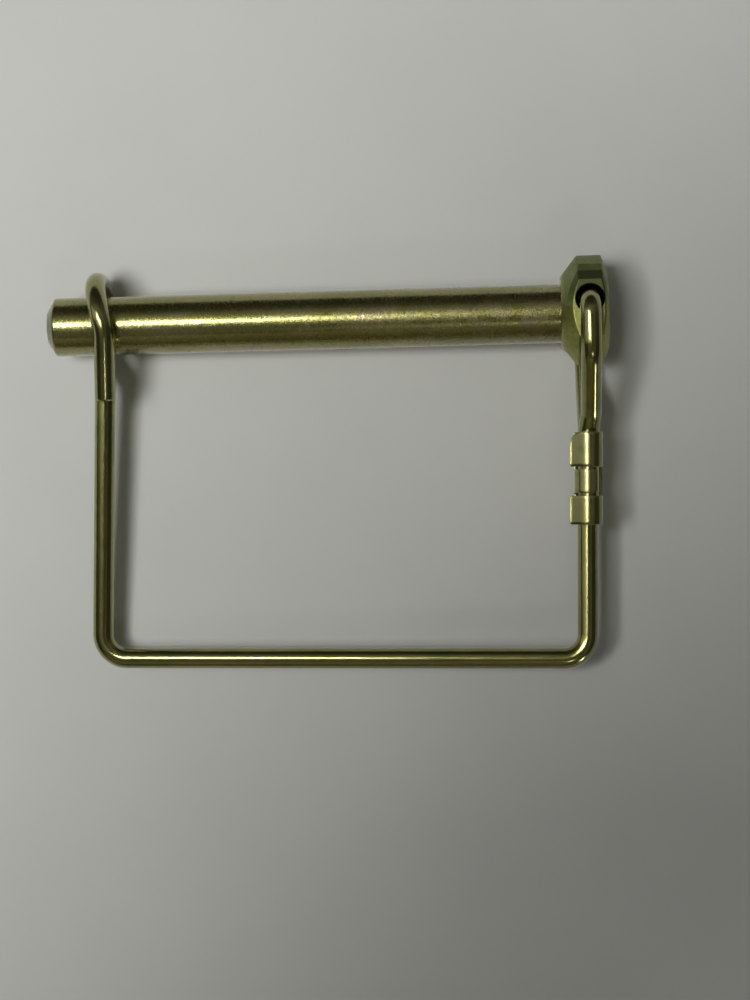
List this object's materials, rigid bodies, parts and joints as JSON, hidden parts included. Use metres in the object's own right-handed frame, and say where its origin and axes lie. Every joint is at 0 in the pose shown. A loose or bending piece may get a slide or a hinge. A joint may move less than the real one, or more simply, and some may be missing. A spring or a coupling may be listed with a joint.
{
  "type": "hitch pin lock",
  "caption": "Straight locking pin with a bevelled forged head and a square spring-wire bail whose eye snaps over the tip.",
  "frame": {"origin": "centre of the shank where it meets the seat face under the head", "axes": "+X along the pin from tip to head, -Y from the pin towards the bail's bottom bar, +Z along the head's cross hole; the lock lies flat with its bail closed"},
  "size_m": [0.0762, 0.056, 0.019],
  "materials": {
    "plated_pin": "yellow zinc chromate over forged and turned steel, semi-gloss, blotchy",
    "plated_wire": "yellow zinc chromate over drawn spring wire, glossy with fine draw lines",
    "plated_sheet": "yellow zinc chromate over stamped sheet, glossy"
  },
  "bodies": {
    "pin": {"pin": "plated_pin"},
    "bail": {"bail_wire": "plated_wire", "crimp_clip": "plated_sheet"},
    "latch": {"latch_leg": "plated_wire"}
  },
  "joints": [
    {"name": "bail_swing", "type": "hinge", "parent": "pin", "child": "bail", "pos_m": [0.0038, 0.0015, 0], "axis": [0, 0, 1], "range_deg": [0, 225]},
    {"name": "latch_spring", "type": "hinge", "parent": "bail", "child": "latch", "pos_m": [-0.06385, -0.04161, -0.0024], "axis": [0, 0, 1], "range_deg": [0, 16], "stiffness_Nm_per_rad": 5.3}
  ]
}
